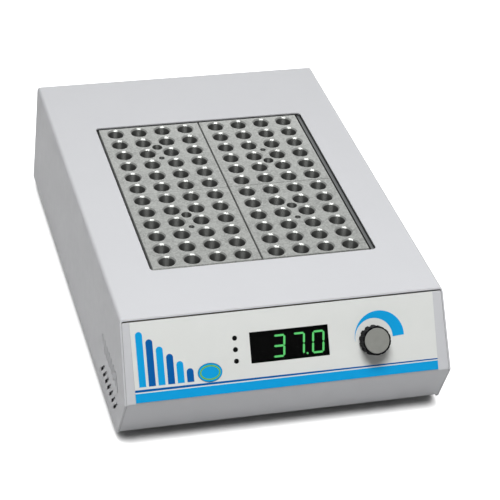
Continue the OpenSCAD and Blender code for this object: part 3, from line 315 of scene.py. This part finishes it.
MOUTH_PAINTED_SHADE = 0.78  # colour of the wells' mouths, beside that of the flats; painted shade
WALL_PAINTED_SHADE = 0.36  # colour of the wells' walls and of the blocks' outer edges, beside that of the flats; painted shade
BLOCK_EDGE = 0.49  # where the outer sides start, in widths of the block from its middle


def outer_side(m):
    """1 on the four outer sides of a block, and 0 inside its outline as seen from above."""
    whole = m.add("ShaderNodeTexCoord").outputs["Generated"]
    apart = m.axes(m.maths("ABSOLUTE", m.maths("SUBTRACT", whole, (0.5, 0.5, 0.5))))
    reach = m.maths("MAXIMUM", apart["X"], apart["Y"])
    return m.ramp(reach, BLOCK_EDGE - 0.01, BLOCK_EDGE, 0, 1)


def milled_block(name, colour):
    """Aluminium block: a fine grain all over, and painted shade in the wells and on its outer
    edges.
    """
    m = Surface(name, rough=0.42, metallic=1, Anisotropic=1.0).rounded(0.12)
    grain = m.noise(1.3, detail=3)
    # The normal's Z is 1 on the flats, about 0.7 on the wells' mouths and 0 on walls
    upward = m.axes(m.add("ShaderNodeNewGeometry").outputs["Normal"])["Z"]
    steep = m.ramp(upward, 0.8, 0.95, 1, 0)
    wall = m.ramp(upward, 0.3, 0.6, 1, 0)
    outer = outer_side(m)
    tone = m.mix(m.ramp(grain, 0.35, 0.65, 0, 1), shade(colour, 0.8), shade(colour, 1.3))
    tone = m.mix(m.ramp(m.noise(12, detail=3), 0.4, 0.6, 0, 0.4), tone, shade(colour, 1.3))
    # Painted shade: the wells' mouths and walls and the blocks' outer edges are coloured darker
    # than the flats
    deepest_shade = m.maths("MAXIMUM", wall, outer)
    painted_shade = m.mix(deepest_shade, shade(colour, MOUTH_PAINTED_SHADE), shade(colour, WALL_PAINTED_SHADE))
    shaded = m.maths("SUBTRACT", steep, m.maths("MULTIPLY", wall, outer))
    m.colour(m.mix(shaded, tone, painted_shade))
    m.link(m.ramp(wall, 0, 1, 0.33, 0.56), m.shader.inputs["Roughness"])
    # Highlights stretch up and down the turned walls, and sideways on the milled flats
    along = m.add("ShaderNodeCombineXYZ")
    m.link(m.ramp(steep, 0, 1, 1, 0), along.inputs["X"])
    m.link(steep, along.inputs["Z"])
    m.link(along.outputs[0], m.shader.inputs["Tangent"])
    return m.bump(grain, 0.03, 0.5).material


def plated(name, colour, rough=0.28):
    m = Surface(name, rough=rough, metallic=1).rounded(0.15)
    m.colour(m.mix(m.noise(1.5), shade(colour, 0.85), colour))
    m.roughness(m.noise(0.8), rough - 0.05, rough + 0.12)
    return m.bump(m.noise(0.3), 0.01, 0.4).material


def fibrous(name, colour):
    m = Surface(name, rough=0.95)
    m.colour(m.mix(m.noise(1.2, (1, 4, 1)), shade(colour, 0.7), shade(colour, 1.15)))
    return m.bump(m.noise(0.5, (1, 5, 1), detail=6), 0.3, 0.7).material


def laminate(name, colour):
    m = Surface(name, rough=0.3, Coat_Weight=0.5).rounded(0.1)
    weave = m.add("ShaderNodeTexWave")
    weave.inputs["Scale"].default_value = 900  # threads about 0.35 mm apart
    m.link(m.place, weave.inputs["Vector"])
    m.colour(m.mix(m.ramp(weave.outputs["Fac"], 0, 1, 0, 0.3), colour, shade(colour, 1.4)))
    m.roughness(m.noise(3), 0.26, 0.4)
    return m.bump(weave.outputs["Fac"], 0.01, 0.3).material


def clear(name, colour, alpha, shine=0.5):
    m = Surface(name, rough=0.12, Specular_IOR_Level=shine, Alpha=alpha)
    m.colour(m.mix(m.noise(8), colour, shade(colour, 1.2)))
    m.roughness(m.noise(3), 0.09, 0.16)
    return m.bump(m.noise(2), 0.004, 0.3).material


def glowing(name, colour, strength):
    m = Surface(name, rough=0.4, Emission_Color=(*colour, 1), Emission_Strength=strength)
    m.colour(m.mix(m.noise(1), shade(colour, 0.8), colour))
    return m.bump(m.noise(0.3), 0.005, 0.3).material


CASE = srgb(204, 205, 208)
FILM = srgb(227, 229, 226)
LIGHT_BLUE = srgb(14, 162, 226)
DARK_BLUE = srgb(2, 92, 166)
GREEN = srgb(120, 186, 60)
ALUMINIUM = srgb(160, 162, 159)
BLACK = srgb(14, 14, 15)

FINISHES = {
    "case_paint": powder_coat("case_paint", CASE),
    "base_steel": machined("base_steel", srgb(176, 178, 180), 0.4, (1, 6, 1), 1.2),
    "film": printed("film", FILM),
    "smoked_window": clear("smoked_window", srgb(2, 3, 2), 0.35, shine=0.0),
    "black_plastic": plain_plastic("black_plastic", BLACK, shine=0.15),
    "lit_digits": glowing("lit_digits", srgb(110, 232, 130), 1.5),
    "lamp_lens": plain_plastic("lamp_lens", srgb(6, 7, 7), 0.3, shine=0.05),
    "circuit_board": laminate("circuit_board", srgb(16, 92, 48)),
    "plated_steel": plated("plated_steel", srgb(190, 190, 186)),
    "key_blue": printed("key_blue", LIGHT_BLUE),
    "knob_black": plain_plastic("knob_black", srgb(6, 6, 8), 0.42, shine=0.04),
    # The grey cap's edges get a painted highlight
    "knob_grey": plain_plastic("knob_grey", srgb(139, 140, 135), 0.38, shine=0.25, edge_highlight=1.9),
    "encoder_metal": plated("encoder_metal", srgb(170, 170, 166), 0.4),
    "block_aluminium": milled_block("block_aluminium", ALUMINIUM),
    "frame_aluminium": machined("frame_aluminium", srgb(112, 114, 114), 0.38, (14, 1, 1)),
    "insulation": fibrous("insulation", srgb(214, 202, 166)),
    "heater_silicone": plain_plastic("heater_silicone", srgb(196, 84, 40), 0.6, 0.8, 0.08),
    "transformer_core": machined("transformer_core", srgb(150, 116, 60), 0.5, (1, 1, 9), 0.5),
    "capacitor_yellow": plain_plastic("capacitor_yellow", srgb(222, 186, 40), 0.35),
    "terminal_green": plain_plastic("terminal_green", srgb(46, 140, 70), 0.4),
    "brass_pins": plated("brass_pins", srgb(206, 196, 150), 0.25),
    "fuse_glass": clear("fuse_glass", srgb(220, 228, 228), 0.5),
    "rocker_plastic": plain_plastic("rocker_plastic", srgb(30, 30, 31), 0.25, 0.6, 0.01),
    "foot_rubber": plain_plastic("foot_rubber", srgb(30, 30, 30), 0.8, 0.5, 0.06),
    "ribbon_grey": plain_plastic("ribbon_grey", srgb(186, 186, 190), 0.5),
    "lead_brown": plain_plastic("lead_brown", srgb(110, 66, 34), 0.45),
    "lead_red": plain_plastic("lead_red", srgb(176, 36, 28), 0.5),
    "lead_white": plain_plastic("lead_white", srgb(222, 222, 218), 0.5),
}


def dress_cad():
    """Gives each CAD node the material of its slot in the record."""
    for row in frame["record"]["subparts"]:
        piece = nodes[row["node"]]
        piece.data.materials.clear()
        piece.data.materials.append(FINISHES[row["material_slot"]])
        for polygon in piece.data.polygons:
            polygon.material_index = 0


# ---- Print on the panel ----
PRINT_T = 0.05  # mm, thickness of the ink
INK = {
    "light_blue": printed("ink_light_blue", LIGHT_BLUE),
    "dark_blue": printed("ink_dark_blue", DARK_BLUE),
    "green": printed("ink_green", GREEN),
}
FILM_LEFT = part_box("panel_film")[0].x / MM
FILM_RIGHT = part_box("panel_film")[1].x / MM
FILM_LOW = 54.9  # mm down the panel, the film's lower edge


def band(name, ink, edge_a, edge_b, base=FILM_T / MM, closed=False):
    """A thin layer of ink between two rows of (x, s) points, at height base; all in mm."""
    mesh = bmesh.new()
    top = base + PRINT_T
    rows = [
        [mesh.verts.new(on_panel(x, s, h)) for x, s in edge]
        for edge, h in ((edge_a, base), (edge_a, top), (edge_b, top), (edge_b, base))
    ]
    n = len(edge_a)
    for i in range(n - 1):
        for a, b in ((0, 1), (1, 2), (2, 3), (3, 0)):
            mesh.faces.new((rows[a][i], rows[a][i + 1], rows[b][i + 1], rows[b][i]))
    if not closed:
        mesh.faces.new([row[0] for row in rows])
        mesh.faces.new([row[-1] for row in rows])
    bmesh.ops.remove_doubles(mesh, verts=mesh.verts, dist=1e-7)
    bmesh.ops.dissolve_degenerate(mesh, edges=mesh.edges, dist=1e-8)
    bmesh.ops.recalc_face_normals(mesh, faces=mesh.faces)
    data = bpy.data.meshes.new(name)
    mesh.to_mesh(data)
    mesh.free()
    piece = bpy.data.objects.new(name, data)
    bpy.context.scene.collection.objects.link(piece)
    data.materials.append(INK[ink])
    return piece


def on_film(piece):
    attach(piece, "case")


def arc(centre, radius, start, stop, steps):
    """Points (x, s) on a circle; angles in degrees, 0 to the right and 90 down the panel."""
    turns = [math.radians(start + (stop - start) * i / steps) for i in range(steps + 1)]
    return [(centre[0] + radius * math.cos(t), centre[1] + radius * math.sin(t)) for t in turns]


# The graphic on the film, in mm
BARS = 6
BAR_W = 4.6
BAR_PITCH = 6.4
BAR_TALL, BAR_SHORT = 36, 9
BAR_STEPS = 8  # in each rounded corner
BARS_IN = 3  # from the film's left edge to the first bar
BARS_UP = 4  # from the band to the bars' feet
BAND_H = 6
LINE_GAP = 0.8  # between the band and the line above it
LINE_TOP_LEFT, LINE_TOP_RIGHT = 2.4, 1.6  # from the band to the line's upper edge


def print_panel():
    """A plain graphic of our own: falling bars at the left, on a band along the lower edge."""
    foot = FILM_LOW - BAND_H
    on_film(band("band_light", "light_blue", [(FILM_LEFT, foot), (FILM_RIGHT, foot)],
                 [(FILM_LEFT, FILM_LOW), (FILM_RIGHT, FILM_LOW)]))
    on_film(band("band_dark", "dark_blue",
                 [(FILM_LEFT, foot - LINE_TOP_LEFT), (FILM_RIGHT, foot - LINE_TOP_RIGHT)],
                 [(FILM_LEFT, foot - LINE_GAP), (FILM_RIGHT, foot - LINE_GAP)]))
    for i in range(BARS):
        x = FILM_LEFT + BARS_IN + i * BAR_PITCH
        tall = BAR_TALL + (BAR_SHORT - BAR_TALL) * i / (BARS - 1)
        low = foot - BARS_UP
        ink = "dark_blue" if i % 2 else "light_blue"
        r = BAR_W / 2
        left = [(x, low), *arc((x + r, low - tall + r), r, 180, 270, BAR_STEPS)]
        right = [(x + BAR_W, low), *arc((x + r, low - tall + r), r, 0, -90, BAR_STEPS)]
        on_film(band(f"bar_{i + 1}", ink, left, right))


# The mark round the knob: a crescent between two circles, which widens clockwise
DIAL_OUTER = ((63.5, 28.4), 17.2, 176)  # centre and radius in mm, and start in degrees
DIAL_INNER = ((59.6, 29), 13.1, 174)
DIAL_END = 362
DIAL_STEPS = 48


def print_dial():
    outer = arc(*DIAL_OUTER, DIAL_END, DIAL_STEPS)
    inner = arc(*DIAL_INNER, DIAL_END, DIAL_STEPS)
    on_film(band("dial_mark", "light_blue", outer, inner))


# The ring printed on the mode button, in mm
KEY_CENTRE = (-53.9, 40.1)
KEY_HALF = (8, 6)
KEY_TOP = 0.9  # from the panel to the button's face
RING_IN, RING_OUT = 2.0, 1.1  # from the button's edge
RING_STEPS = 64


def print_key():
    inner, outer = (
        [(KEY_CENTRE[0] + (KEY_HALF[0] - gap) * x, KEY_CENTRE[1] + (KEY_HALF[1] - gap) * y)
         for x, y in arc((0, 0), 1, 0, 360, RING_STEPS)]
        for gap in (RING_IN, RING_OUT)
    )
    ring = band("key_ring", "green", outer, inner, KEY_TOP, closed=True)
    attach(ring, "mode_key")


# ---- Floor ----
FLOOR_SIZE = 6.0  # metres
FLOOR_TONES = (0.58, 0.58, 0.58), (0.61, 0.61, 0.61)
CONTACT_MM = 14  # how near the object the floor's white lift fades, into a painted contact shadow


def make_floor():
    """A pale floor that looks white to the camera and to mirrors, but for the object's shadow and a
    painted shadow close round its foot.
    """
    data = bpy.data.meshes.new("floor")
    half = FLOOR_SIZE / 2
    data.from_pydata(
        [(-half, -half, 0), (half, -half, 0), (half, half, 0), (-half, half, 0)], [], [(0, 1, 2, 3)]
    )
    floor = bpy.data.objects.new("floor", data)
    bpy.context.scene.collection.objects.link(floor)
    m = Surface("floor_white", rough=0.9, Specular_IOR_Level=0.1)
    m.colour(m.mix(m.noise(60), *FLOOR_TONES))
    # Painted shadow: the white lift fades out in nooks near the object
    white = m.ramp(m.openness(CONTACT_MM, samples=16), 0.4, 0.78, 0, 1)
    lift = m.add("ShaderNodeEmission")
    m.link(m.maths("MULTIPLY", seen_or_mirrored(m.tree), white), lift.inputs["Strength"])
    both = m.add("ShaderNodeAddShader")
    m.link(m.shader.outputs[0], both.inputs[0])
    m.link(lift.outputs[0], both.inputs[1])
    m.link(both.outputs[0], m.tree.nodes["Material Output"].inputs["Surface"])
    data.materials.append(m.material)


make_camera()
make_light()
dress_cad()
print_panel()
print_dial()
print_key()
make_floor()
bpy.context.scene.view_settings.view_transform = "Standard"
